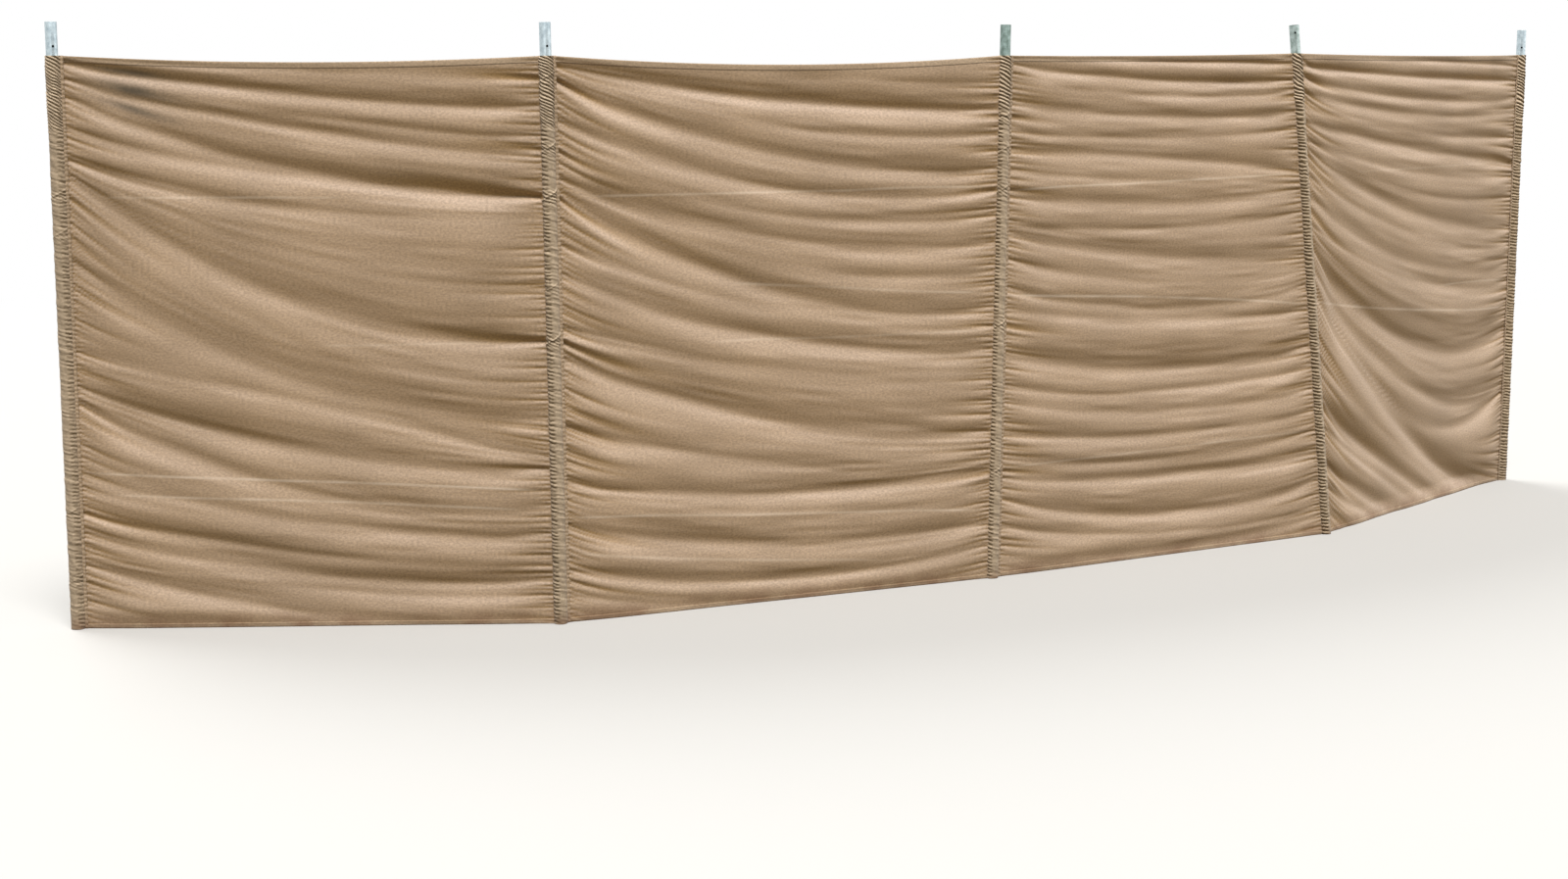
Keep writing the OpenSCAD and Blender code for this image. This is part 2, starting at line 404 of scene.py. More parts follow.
# How steeply the gathers leave each bay's left and right seam, as a fall per millimetre, and how deep
# they are beside the others
GATHER_FALL = [(0.15, 0.0), (0.28, 0.0), (0.04, 0.0), (0.6, -0.06)]
GATHER_FORCE = [(1.0, 0.85), (1.3, 1.0), (1.0, 1.1), (2.0, 1.2)]


def gather_lines(b, side):
    """Random gathers along one seam of bay b: height, length, depth and width in millimetres."""
    draw = np.random.RandomState(40 + 2 * b + side)
    height = 6.0
    while height < 1405:
        if draw.uniform() < 0.3:
            yield height, draw.uniform(80, 170), draw.uniform(2.4, 4.4), 4.0
        else:
            yield height, draw.uniform(20, 60), draw.uniform(1.8, 3.4), 3.2
        height += draw.uniform(8, 18)


def line_through(b, side, height):
    """The three heights of the line that leaves the seam at a height and runs along with the folds."""
    ends = np.array([fold[2 * side] for fold in FOLDS[b]], float)
    n = int(np.clip((ends > height).sum(), 1, len(ends) - 1))
    share = (ends[n - 1] - height) / max(ends[n - 1] - ends[n], 1)
    upper, lower = np.array(FOLDS[b][n - 1][:3]), np.array(FOLDS[b][n][:3])
    return upper * (1 - share) + lower * share


def edge_gathers(b, u, h, side, reach):
    """Short wrinkles that leave a sleeve's seam. reach is the distance from that seam in mm."""
    fall = GATHER_FALL[b][side] * TURN_BY * (1 - np.exp(-reach / TURN_BY))
    relief = np.zeros_like(u)
    for height, length, depth, width in gather_lines(b, side):
        # A gather widens as it dies out
        s = (h * 1000 - line_height(line_through(b, side, height), u) + fall) / (width + 0.04 * reach)
        depth = depth * GATHER_FORCE[b][side]
        relief -= depth * np.exp(-(reach / length) ** 1.5) * np.exp(-np.abs(s) ** 1.4)
    for height, force in PINCHES[b + side]:
        # A pinch is a nick with a lip on both sides, and the harder it is, the further it reaches
        s = (h * 1000 - line_height(line_through(b, side, height), u) + fall) / (6 + 0.06 * reach)
        pull = force * np.exp(-reach / (60 + 110 * force))
        relief += 9 * pull * (0.6 * s * s - 1) * np.exp(-s * s / 2)
    return relief


def seam_seed(b, side):
    """The seed of the puckers along bay b's left (0) or right (1) seam."""
    return 100 + 10 * side + b


def pucker_wave(h, seed):
    """Even bumps up a seam, from 0 in each nick to 1, that drift a little as hand-fed cloth does."""
    return np.abs(np.sin(math.pi * (h * 1000 / PUCKER + 0.7 * waves(h * 1000 / 60, seed))))


def seam_comb(h, reach, seed):
    """Small puckers beside a line of stitches, about 1.5 mm high at the seam."""
    size = 1.5 + 0.9 * waves(h * 1000 / 23, seed + 1)
    return (pucker_wave(h, seed) - 0.6) * size * np.exp(-reach / PUCKER_REACH)


print("gathers at each bay's left seam:", [len(list(gather_lines(b, 0))) for b in BAYS])

# %% [markdown]
# The whole relief of a bay is a sum: a valley along every fold line, broad and fine wrinkles between
# them, the gathers, and the puckers. Each valley turns under slowly above its line and comes out
# again more quickly below, because gravity pulls the slack cloth over the fold.

# %% The relief of a bay of cloth
# How deep each bay's folds are, as a multiple of the depths above
DEEPER = (2.4, 2.3, 1.85, 1.85)
# How far from a seam the cloth has opened out of its gathers, how far it then stands forward, and how
# far the folds wander, in millimetres
OPEN_BY = 150
BILLOW = 11
WANDER = 5
# How far the top edge leans back (mm), and over what height (m)
LEAN_BACK = 6
LEAN_OVER = 0.04
# How far a bay's right edge comes forward to meet the front of its sleeve (mm)
MEET_SLEEVE = 4


def cloth_relief(b, u, h):
    """How far bay b's cloth stands in front of the flat (mm), and the gathers' share of that."""
    q = fold_height(b, u, h)
    width = bay_length[b] * 1000
    from_left, from_right = u * width, (1 - u) * width
    open_cloth = smooth_step(from_left / OPEN_BY) * smooth_step(from_right / OPEN_BY)
    # The folds wander a little, so that no line is a perfect curve
    wander = WANDER * patches(u * 3.5 + 3, q / 210, 71 + b) * open_cloth
    relief = np.zeros_like(u)
    for n, fold in enumerate(FOLDS[b]):
        half_width, start_depth, end_depth = fold[3:]
        # At the seams a fold is a third as wide. s is the height over the valley, in half widths
        spread = half_width * (0.35 + 0.7 * open_cloth)
        s = (h * 1000 - line_height(fold, u) + wander) / spread + 0.5
        # The valley has a round bottom, and fades out more slowly above it than below
        valley = np.exp((0.7 - np.sqrt(s * s + 0.49)) / np.where(s > 0, 1.35, 1.15))
        # Its depth changes from left to right, swells along the way, and is a third at the seams
        depth = start_depth + (end_depth - start_depth) * smooth_step((u - 0.15) / 0.7)
        swell = 1 + 0.25 * waves(u * 4 + 1.7 * n, 81 + b)
        relief -= DEEPER[b] * depth * swell * (0.35 + 0.65 * open_cloth) * valley
    relief += BILLOW * open_cloth
    # Broad, middling and fine wrinkles, 70, 31 and 14 mm high
    relief += 2.4 * open_cloth * patches(u * 3.2 + 5, (q + wander) / 70, 11 + b)
    relief += 1.1 * (0.5 + 0.5 * open_cloth) * patches(u * 5.5 + 9, q / 31, 21 + b)
    relief += 0.8 * patches(u * 9, q / 14, 31 + b)
    gathers = edge_gathers(b, u, h, 0, from_left) + edge_gathers(b, u, h, 1, from_right)
    relief += gathers
    # The seams and the ground hold the cloth
    hold = smooth_step((from_left + 2) / 10) * smooth_step((from_right + 2) / 10)
    relief = relief * hold * (smooth_step(h / 0.05) * 0.6 + 0.4)
    relief += seam_comb(h, from_left, seam_seed(b, 0)) + seam_comb(h, from_right, seam_seed(b, 1))
    # The top edge leans back, and a bay's far edge comes forward to the front of its sleeve
    relief -= LEAN_BACK * open_cloth * np.exp(-(cloth_top(b, u) - h) / LEAN_OVER)
    forward = 0 if b == 3 else MEET_SLEEVE * np.exp(-from_right / 30)
    return relief + forward, gathers


middle_relief = cloth_relief(0, np.full(3, 0.5), np.array([0.3, 0.7, 1.1]))[0]
print("relief in the middle of bay 1, low, half way and high (mm):", middle_relief.round(1))

# %% [markdown]
# A helper makes every cloth surface: it takes a flat grid from bmesh, moves each corner to its place,
# and keeps the flat cloth's measures as a UV map in metres for the weave. Each corner also keeps its
# painted light as an attribute: a share that paints the upper sides of folds pale and their under
# sides dark.

# %% Cloth from grids


def cloth_mesh(name, across, up, place):
    """A mesh grid of across x up faces, put in place by place(i, j), which takes arrays from 0 to 1."""
    bm = bmesh.new()
    bmesh.ops.create_grid(bm, x_segments=across, y_segments=up, size=0.5)
    mesh = mesh_from(bm, name)
    flat = np.empty(len(mesh.vertices) * 3)
    mesh.vertices.foreach_get("co", flat)
    flat = flat.reshape(-1, 3)[:, :2] + 0.5
    points, uvs, marks = place(flat[:, 0], flat[:, 1])
    mesh.vertices.foreach_set("co", points.ravel())
    corner = np.empty(len(mesh.loops), int)
    mesh.loops.foreach_get("vertex_index", corner)
    layer = mesh.uv_layers.new(name="cloth")
    layer.data.foreach_set("uv", uvs[corner].ravel())
    for key, values in marks.items():
        mesh.attributes.new(key, "FLOAT", "POINT").data.foreach_set("value", values)
    mesh.polygons.foreach_set("use_smooth", [True] * len(mesh.polygons))
    return mesh


def make_piece(name, mesh, material, slot, *nodes):
    """Turns a mesh into a piece that rides on the frame and stands for the named CAD nodes."""
    mesh.materials.append(material)
    piece = bpy.data.objects.new(name, mesh)
    scene.collection.objects.link(piece)
    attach(piece, "root")
    if nodes:
        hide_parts(*nodes)
    return piece


def thicken(piece, thickness, back):
    """Gives a cloth surface its thickness, and its back another material."""
    wall = piece.modifiers.new("thickness", "SOLIDIFY")
    wall.thickness = thickness
    wall.offset = 0
    wall.use_even_offset = False
    piece.data.materials.append(back)
    wall.material_offset = 1


# How far above a place its slope is measured for the painted light on the panels, in millimetres
LIGHT_STEP = 2.0


def painted_light(relief, above, step=LIGHT_STEP):
    """Painted light: how pale a place is painted, from 0 to 1, as painted highlight and painted shade.
    It is more where cloth faces up, so where the relief is less at a place step millimetres above it."""
    return np.clip(0.5 - (above - relief) / step, 0, 1)


def panel_point(b, u, h):
    """Places on bay b's wrinkled cloth, and their painted light, pale on the upper sides of folds."""
    relief, gathers = cloth_relief(b, u, h)
    points = cloth_base(b, u, h) + front[b] * relief[:, None] / 1000
    # Painted shade: the bottoms of the gathers are painted darker
    above = cloth_relief(b, u, h + LIGHT_STEP / 1000)[0]
    blend = painted_light(relief, above) + 0.09 * np.minimum(gathers + 0.5, 0)
    return points, np.clip(blend, 0, 1)


# %% [markdown]
# The canvas is a plain-woven cotton duck, dyed tan. Its yarns are slubby, so the colour has a fine
# grain, and there is hardly any shine. The upper sides of the folds are painted paler as painted
# highlight and their under sides darker as painted shade, and the ground has stained the lowest few
# centimetres in blots. Real yarns lie 0.8 mm apart, which is too fine to show from here, so the grain
# is drawn at nearly 5 mm.

# %% Canvas
GRAIN_MM = 4.6


def canvas_material(name, shaded_colour, lit_colour):
    """Plain-woven cotton canvas: matt, with a slubby grain, and painted light: paler on the upper
    sides of folds and darker on their under sides.
    """
    material, tree, shader = new_material(name)
    shader.inputs["Roughness"].default_value = 0.92
    shader.inputs["Specular IOR Level"].default_value = 0.2
    shader.inputs["Sheen Weight"].default_value = 0.1
    shader.inputs["Sheen Roughness"].default_value = 0.6
    place = add_node(tree, "TexCoord")
    uv, spot = place.outputs["UV"], place.outputs["Object"]
    # Painted light: the upper sides of folds are painted pale, and their under sides dark
    blend = add_node(tree, "Attribute", attribute_name="painted_light").outputs["Fac"]
    toned = add_node(tree, "Mix", {"Factor": blend, 6: linear(shaded_colour), 7: linear(lit_colour)},
                     data_type="RGBA").outputs[2]
    stretched = add_node(tree, "Mapping", {"Vector": uv, "Scale": (0.6, 1, 1)})
    grain = add_node(tree, "TexNoise", {"Vector": stretched.outputs[0], "Scale": 1000 / GRAIN_MM,
                                        "Detail": 2.0, "Roughness": 0.6}).outputs["Fac"]
    # Dye takes unevenly, in drifts about 200 mm across
    cloud = add_node(tree, "TexNoise", {"Vector": spot, "Scale": 5.0, "Detail": 4.0}).outputs["Fac"]
    slub = add_node(tree, "MapRange", {0: grain, 1: 0.3, 2: 0.7, 3: 0.8, 4: 1.2})
    drift = add_node(tree, "MapRange", {0: cloud, 1: 0.3, 2: 0.7, 3: 0.93, 4: 1.07})
    shade = add_node(tree, "Math", {0: slub.outputs[0], 1: drift.outputs[0]},
                     operation="MULTIPLY").outputs[0]
    toned = add_node(tree, "VectorMath", {0: toned, 1: shade}, operation="MULTIPLY").outputs[0]
    # The pale crease colour is a painted highlight; the grey one is a real stain
    for marks, colour in (("crease", "dcc7af"), ("stain", "403c31")):
        mark = add_node(tree, "Attribute", attribute_name=marks).outputs["Fac"]
        toned = add_node(tree, "Mix", {"Factor": mark, 6: toned, 7: linear(colour)},
                         data_type="RGBA").outputs[2]
    # Soil fades out 45 mm above the ground, in blots about 75 mm across
    level = add_node(tree, "SeparateXYZ", {0: spot}).outputs["Z"]
    near = add_node(tree, "MapRange", {0: level, 1: 0.045, 2: 0.0}).outputs[0]
    blot = add_node(tree, "TexNoise", {"Vector": spot, "Scale": 13.0, "Detail": 3.0}).outputs["Fac"]
    blot = add_node(tree, "MapRange", {0: blot, 1: 0.42, 2: 0.62, 3: 0.1, 4: 0.6}).outputs[0]
    soil = add_node(tree, "Math", {0: near, 1: blot}, operation="MULTIPLY").outputs[0]
    toned = add_node(tree, "Mix", {"Factor": soil, 6: toned, 7: linear("70492f")},
                     data_type="RGBA").outputs[2]
    tree.links.new(toned, shader.inputs["Base Color"])
    bump = add_node(tree, "Bump", {"Height": grain, "Strength": 0.3, "Distance": 0.0006})
    tree.links.new(bump.outputs[0], shader.inputs["Normal"])
    return material


canvas = canvas_material("tan_cotton_canvas", "947549", "b69f89")
# The back gets no painted light, so it is one even colour
canvas_back = canvas_material("even_canvas_back", "a08767", "a08767")
seam_canvas = canvas_material("sewn_double_canvas", "8b704d", "b9a38a")
sleeve_canvas = canvas_material("sleeve_canvas", "6f5b3e", "cbb599")
print("canvas finishes:", [m.name for m in (canvas, canvas_back, seam_canvas, sleeve_canvas)])

# %% [markdown]
# Creases and smudges. The windbreak was folded for carrying, which left creases across the bays. They
# have no ridge in the mesh, so each is drawn as a painted highlight: a faint pale line. Grey smudges sit
# near the top left of the first bay. Both are worked out at each corner of the cloth as numbers from 0
# to 1 and kept as attributes, which the material reads.

# %% Creases and smudges
# Half the width that a crease shows at, in millimetres
CREASE_HALF = 2.7
# (height at the left, in the middle and at the right in millimetres, from u, to u, strength)
CREASES = [
    [(1062, 1061, 1060, 0.05, 0.6, 0.35), (705, 702, 700, 0.5, 0.9, 0.25),
     (390, 363, 334, 0.0, 1.0, 0.6), (339, 312, 285, 0.05, 0.95, 0.45)],
    [(1062, 1060, 1058, 0.05, 1.0, 0.45), (885, 820, 775, 0.35, 1.0, 0.4),
     (690, 682, 675, 0.3, 1.0, 0.3), (268, 228, 190, 0.0, 1.0, 0.5), (175, 105, 60, 0.0, 0.75, 0.4)],
    [(1048, 1056, 1065, 0.0, 1.0, 0.5), (765, 735, 686, 0.0, 1.0, 0.6),
     (300, 307, 315, 0.0, 1.0, 0.3)],
    [(1062, 1058, 1054, 0.2, 0.9, 0.2), (692, 618, 580, 0.0, 1.0, 0.55),
     (712, 690, 672, 0.6, 1.0, 0.4)],
]
# Each smear lies along the under side of a top fold: its fold height and place, its half height in
# millimetres and its strength
SMEARS = [(1312, 0.14, 15, 0.8), (1245, 0.14, 24, 0.85), (1175, 0.15, 16, 0.75)]
SMEAR_HALF_WIDTH = 0.08


def crease_highlight_marks(b, u, h):
    """How strongly the painted highlight of a packing crease shows at each place, from 0 to 1."""
    marks = np.zeros_like(u)
    for n, (*heights, start, end, strength) in enumerate(CREASES[b]):
        # A crease wanders by 3 mm, and fades in and out at its ends
        line = line_height(heights, u) + 3 * waves(u * 5 + n, 120 + b)
        ends = smooth_step((u - start) / 0.08) * smooth_step((end - u) / 0.08)
        marks = np.maximum(marks, strength * ends * np.exp(-((h * 1000 - line) / CREASE_HALF) ** 2))
    return marks * (0.9 + 0.35 * waves(u * 22, 130 + b))


def smudge_marks(b, u, h):
    """Grey smudges near the top left of the first bay."""
    if b:
        return np.zeros_like(u)
    q = fold_height(b, u, h)
    marks = np.zeros_like(u)
    for middle, centre, half, strength in SMEARS:
        across = (u - centre) / SMEAR_HALF_WIDTH
        marks += strength * np.exp(-across ** 2 - ((q - middle) / half) ** 2)
    return np.clip(marks * (0.8 + 0.2 * patches(u * 30, q / 20, 140)), 0, 1)


print("creases of each bay:", [len(lines) for lines in CREASES], "smears:", len(SMEARS))

# %% [markdown]
# Each panel is a grid of faces about 14 mm wide and 3 mm high, because the folds run across, and its
# columns crowd towards the seams, where the gathers are. Solidify gives it canvas thickness.

# %% Panels
CANVAS_THICK = 0.0007
PANEL_FACES = (84, 470)
# The cloth's own edge lies this far below the hem's
UNDER_HEM = 0.001
# Each bay is cut from its own stretch of the roll, so that no two have the same slubs
ROLL_STEP = 1.3
# How strongly the columns crowd towards the seams
CROWDING = 0.55


def crowd(i):
    """Turns even steps into steps that are shorter near both ends."""
    return i - CROWDING * np.sin(2 * math.pi * i) / (2 * math.pi)


def cloth_uv(b, u, h):
    """Bay b's own flat measures, in metres."""
    return np.stack([u * bay_length[b] + ROLL_STEP * b, h], axis=1)


for b in BAYS:
    def place(i, j, b=b):
        u = crowd(i)
        h = j * (cloth_top(b, u) - UNDER_HEM)
        points, blend = panel_point(b, u, h)
        marks = {"painted_light": blend, "crease": crease_highlight_marks(b, u, h), "stain": smudge_marks(b, u, h)}
        return points, cloth_uv(b, u, h), marks
    mesh = cloth_mesh(f"canvas_panel_{b + 1}", *PANEL_FACES, place)
    panel = make_piece(f"canvas_panel_{b + 1}", mesh, canvas, "canvas", f"panel_{b + 1}")
    thicken(panel, CANVAS_THICK, canvas_back)

# %% [markdown]
# Hems. The top and bottom edges are folded over and sewn. They are made on the same rows of the same
# function as the panel, as narrow strips that are thicker, so that the two never part.

# %% Hems
HEM_THICK = 0.0011
HEM_ROWS = {"top": 5, "bottom": 4}
# The fold of a top hem stands this far over the panel's own edge
HEM_OVER = 0.0006


def hem_height(b, part, u, j):
    """Heights up bay b's top or bottom hem: j runs from 0 at its lower edge to 1 at its upper one."""
    row = j * HEM_ROWS[part] + (PANEL_FACES[1] - HEM_ROWS[part] if part == "top" else 0)
    return row / PANEL_FACES[1] * (cloth_top(b, u) - UNDER_HEM) + (HEM_OVER * j if part == "top" else 0)


for b in BAYS:
    for part in ("top", "bottom"):
        def place(i, j, b=b, part=part):
            u = crowd(i)
            h = hem_height(b, part, u, j)
            # The hems get the same painted light as the panel
            points, blend = panel_point(b, u, h)
            return points, cloth_uv(b, u, h), {"painted_light": blend}
        mesh = cloth_mesh(f"{part}_hem_cloth_{b + 1}", PANEL_FACES[0], HEM_ROWS[part], place)
        slot = "canvas_hem" if part == "top" else "canvas_ground_hem"
        hem = make_piece(mesh.name, mesh, seam_canvas, slot, f"{part}_hem_{b + 1}")
        thicken(hem, HEM_THICK, canvas_back)
print("hems:", 2 * len(BAYS), "of", HEM_ROWS, "rows")

# %% [markdown]
# Sleeves. Each sleeve is canvas sewn round a tube, with a cusp where its two layers meet at the seam.
# Where it was pushed down the pole it is crushed into slanting ruckles, and elsewhere the seam
# gathers it into a ladder of small puckers.

# %% Sleeves: sizes
SLEEVE_FACES = (28, 780)
# The sleeve's outside, its inside beside the tube, and its cusp, as radii in metres
BODY_R = 0.0163
INNER_R = 0.0142
CUSP_R = 0.0195
# The thinnest that crushed cloth gets
THIN = 0.0004
# The crushed top has finer rows than the rest: its length in millimetres, and the rows' share below it
FINE_TOP = 230
COARSE_ROWS = 0.72
# How far down each sleeve is crushed, and how far apart its ruckles are, in millimetres
CRUSHED_TOP = [195, 190, 160, 145, 215]
RUCKLE = [8.0, 8.2, 10.0, 11.0, 10.5]
# A ruckle's height as a share of its spacing
RUCKLE_HEIGHT = 0.46
# Height of the cloth at the poles, from which the crushed lengths are measured down
COLLAR = 1400
# Distance between the rungs of the ladder, and their height, in millimetres
RUNG = 10.2
RUNG_HEIGHT = 2.0
# How deep a pinch nicks a sleeve, and how high a ridge it throws up, in millimetres
NICK = 1.8
RIDGE = 2.2
# Where round each sleeve the ladder shows, and how strongly: its middle and half its width, in degrees
# from the side that faces straight out of the wall, and more to the right
LADDER = [(64, 42, 0.5), (-59, 44, 0.8), (-83, 44, 1.0), (-80, 66, 1.4), (-66, 95, 1.1)]
print("lengths that are crushed (mm):", CRUSHED_TOP)

# %% [markdown]
# The relief of a sleeve is a sum as well: slanting ruckles where it is crushed, the ladder on the side
# of its seam, a fine unevenness all over, and a nick and a ridge at each pinch.

# %% Sleeves: relief


def plan_angle(b, side):
    """Angle in plan of bay b's direction, away from its left pole (1) or its right pole (-1)."""
    return math.atan2(along[b][1] * side, along[b][0] * side)


def wrap(angle):
    """The same angle between -pi and pi."""
    return (angle + math.pi) % (2 * math.pi) - math.pi


def sleeve_relief(k, z, turn):
    """How far pole k's sleeve stands out, in millimetres, and how much painted shade it gets."""
    # The crushing sets in over 50 mm, and again round each pinch
    crush = smooth_step((z - COLLAR + CRUSHED_TOP[k]) / 50)
    for height, force in PINCHES[k]:
        crush = np.maximum(crush, 0.9 * force * np.exp(-((z - height) / 16) ** 2))
    # The ruckles fall to the right, and fan out and close again down the pole
    wander = 4.0 * waves(z / 40, 50 + k) + 1.6 * patches(turn * 1.3 + 8, z / 24, 52 + k)
    fan = 8.0 + 3.5 * waves(z / 50, 60 + k)
    slanting = np.abs(np.sin(math.pi * (z + fan * turn + wander) / RUCKLE[k]))
    ruckle_shade = crush * np.maximum(0.5 - slanting, 0)
    ruckle_height = RUCKLE_HEIGHT * RUCKLE[k] + 0.8 * waves(z / 19 + turn, 65 + k)
    relief = crush * (slanting - 0.55) * ruckle_height
    # The ladder fades out at its sides, and its rungs are drawn as unevenly as the thread was
    middle, half, strength = LADDER[k]
    middle, half = math.radians(middle), math.radians(half)
    where = smooth_step((half + 0.2 - np.abs(wrap(turn - middle))) / 0.35) * (1 - crush) * strength
    beat = z / RUNG + 0.6 * waves(z / 60, 70 + k) + 0.2 * turn
    beat += 0.15 * patches(turn * 2 + 4, z / 11, 75 + k)
    rung_height = RUNG_HEIGHT + 0.5 * waves(z / 15, 78 + k)
    relief += (np.abs(np.sin(math.pi * beat)) - 0.6) * rung_height * where
    # Fine unevenness, 17 and 5 mm high
    relief += 0.5 * waves(z / 17 + 1.5 * turn, 80 + k) + 0.6 * waves((z + 4 * turn) / 4.6, 85 + k)
    for height, force in PINCHES[k]:
        relief -= NICK * force * np.exp(-((z - height) / 3.0) ** 2)
        relief += RIDGE * force * np.exp(-((z - height - 6 - 9 * turn) / 2.2) ** 2)
    # Painted shade: the ladder's side of the sleeve is painted darker, and so are the bottoms of the
    # ruckles
    return relief, 0.25 * where + 0.9 * ruckle_shade


# %% [markdown]
# Each sleeve is a flat grid wrapped round its pole and welded into a tube. Its rims are extruded
# inwards and bridged, which gives it an inner wall beside the pole and leaves it closed.

# %% Sleeves: shape


def sleeve_place(k):
    """Gives the place function of pole k's sleeve."""
    left, right = plan_angle(max(k - 1, 0), 1), plan_angle(min(k, 3), 1)
    straight = (left + right - math.pi) / 2
    cusp = plan_angle(k, 1) if k < 4 else plan_angle(3, -1)
    half = math.acos(BODY_R / CUSP_R)

    def place(i, j):
        phi = i * 2 * math.pi
        gap = np.minimum(np.abs(wrap(phi - cusp)), half)
        body = BODY_R / np.cos(np.where(gap < half, half - gap, 0))
        coarse = sleeve_length[k] * 1000 - FINE_TOP
        fine_part = (j - COARSE_ROWS) / (1 - COARSE_ROWS)
        z = np.where(j < COARSE_ROWS, j / COARSE_ROWS * coarse, coarse + fine_part * FINE_TOP)
        turn = wrap(phi - straight)
        relief, less = sleeve_relief(k, z, turn)
        # Painted light on the ruckles and rungs, less their painted shade
        blend = painted_light(relief, sleeve_relief(k, z + 1, turn)[0], 1.0) - less
        radius = np.maximum(body + relief / 1000, INNER_R + THIN)
        radial = np.stack([np.cos(phi), np.sin(phi), np.zeros_like(phi)], axis=1)
        points = foot[k] + axis[k] * (z / 1000)[:, None] + radial * radius[:, None]
        points[:, 2] = np.maximum(points[:, 2], 0)
        # The cloth's measure round the sleeve is taken at 20 mm from the pole's middle
        return points, np.stack([phi * 0.02, z / 1000], axis=1), {"painted_light": blend}
    return place


def close_sleeve(mesh, k):
    """Welds the grid into a tube and gives it an inner wall beside the pole."""
    bm = bmesh.new()
    bm.from_mesh(mesh)
    bmesh.ops.remove_doubles(bm, verts=bm.verts, dist=0.00001)
    rims = [e for e in bm.edges if e.is_boundary]
    made = bmesh.ops.extrude_edge_only(bm, edges=rims)["geom"]
    for vert in [v for v in made if isinstance(v, bmesh.types.BMVert)]:
        point = np.array(vert.co)
        centre = foot[k] + axis[k] * ((point - foot[k]) @ axis[k])
        out = (point - centre) / np.linalg.norm(point - centre)
        vert.co = centre + out * INNER_R
        vert.co.z = point[2]
    bmesh.ops.bridge_loops(bm, edges=[e for e in made if isinstance(e, bmesh.types.BMEdge)])
    bmesh.ops.recalc_face_normals(bm, faces=bm.faces)
    bm.to_mesh(mesh)
    bm.free()


for k in POLES:
    mesh = cloth_mesh(f"sleeve_cloth_{k + 1}", *SLEEVE_FACES, sleeve_place(k))
    close_sleeve(mesh, k)
    make_piece(mesh.name, mesh, sleeve_canvas, "canvas", f"sleeve_{k + 1}")
    print(mesh.name, "length (m):", round(sleeve_length[k], 4), "faces:", len(mesh.polygons))

# %% [markdown]
# Flanges. The strip beside each sleeve is where its layers are stitched to the panel. The thread draws
# it up into even puckers, the same as the panel's beside it, because one row of stitches makes both.

# %% Flanges
FLANGE_THICK = 0.0022
FLANGE_FACES = (3, 560)
# The bay that each pole's flange belongs to, and 1 where it is right of the pole or -1 left of it
flange_side = [(k, 1) for k in range(4)] + [(3, -1)]


def flange_point(k, i, h):
    """Places on pole k's flange: i runs from 0 at the sleeve to 1 at the outer edge."""
    b, side = flange_side[k]
    reach = (FLANGE[0] + i * (FLANGE[1] - FLANGE[0])) * side
    puckers = pucker_wave(h, seam_seed(b, 0 if side > 0 else 1))
    # In millimetres: the puckers are twice as high at the outer edge
    relief = 0.6 + (puckers - 0.5) * (0.6 + 0.6 * i)
    points = foot[k] + axis[k] / axis[k][2] * h[:, None] + along[b] * reach[:, None]
    return points + front[b] * (relief / 1000)[:, None], relief


for k in POLES:
    def place(i, j, k=k):
        h = j * TOP_Z[k]
        points, relief = flange_point(k, i, h)
        # Painted light: the puckers' upper sides are painted paler and their under sides darker
        blend = painted_light(relief, flange_point(k, i, h + 0.001)[1], 1.0)
        return points, np.stack([i * 0.01, h], axis=1), {"painted_light": blend}
    mesh = cloth_mesh(f"flange_cloth_{k + 1}", *FLANGE_FACES, place)
    if flange_side[k][1] < 0:
        mesh.flip_normals()
    flange = make_piece(mesh.name, mesh, seam_canvas, "canvas_seam", f"flange_{k + 1}")
    thicken(flange, FLANGE_THICK, canvas_back)
print("flanges:", len(POLES), "width (mm):", round((FLANGE[1] - FLANGE[0]) * 1000, 1))

# %% [markdown]
# Stitches. A row of them holds the outer edge of every flange and the lower edge of every top hem. Each
# stitch is a small ball drawn out along the seam and partly sunk in the cloth. A ball of twenty faces
# is enough, as a stitch is only 1.2 mm thick, and all of a seam's stitches are one mesh. The hems have
# thread of the canvas's own colour, and the flanges a browner one.

# %% Stitches
THREAD_R = 0.0006
STITCH = 0.0056
PITCH = 0.0095
# Where the rows run: their share of a flange's width, and rows of faces below a bay's top edge
FLANGE_ROW = 0.78
HEM_ROW = 3.6
# How far a row stays from the ground and from the top of a flange, and where along a bay it runs
ROW_FOOT = 0.012
ROW_TOP = 0.008
ROW_ALONG = (0.02, 0.98)
# How far a stitch's middle stands over the cloth's face, in radii of the thread
FLANGE_LIFT = 0.2
HEM_LIFT = -0.5


def thread_material(name, dark, pale):
    """Twisted cotton thread: matt, and a little uneven in colour."""
    material, tree, shader = new_material(name)
    shader.inputs["Roughness"].default_value = 0.85
    shader.inputs["Specular IOR Level"].default_value = 0.2
    spot = add_node(tree, "TexCoord").outputs["Object"]
    # The strands of a thread turn every 2.5 mm or so
    twist = add_node(tree, "TexNoise", {"Vector": spot, "Scale": 400.0}).outputs["Fac"]
    toned = add_node(tree, "Mix", {"Factor": twist, 6: linear(dark), 7: linear(pale)},
                     data_type="RGBA").outputs[2]
    tree.links.new(toned, shader.inputs["Base Color"])
    return material


seam_thread = thread_material("brown_cotton_thread", "7a6546", "a58b69")
hem_thread = thread_material("tan_cotton_thread", "9c8160", "c2a988")


def stitch_row(name, spots, thread, slot):
    """A row of stitches as one piece. spots is a list of (middle, direction along the seam)."""
    bm = bmesh.new()
    long_ball = Matrix.Diagonal((THREAD_R, THREAD_R, STITCH / 2, 1))
    for middle, direction in spots:
        bmesh.ops.create_icosphere(bm, subdivisions=1, radius=1,
                                   matrix=placed(middle, direction) @ long_ball)
    mesh = mesh_from(bm, name)
    mesh.polygons.foreach_set("use_smooth", [True] * len(mesh.polygons))
    return make_piece(name, mesh, thread, slot)


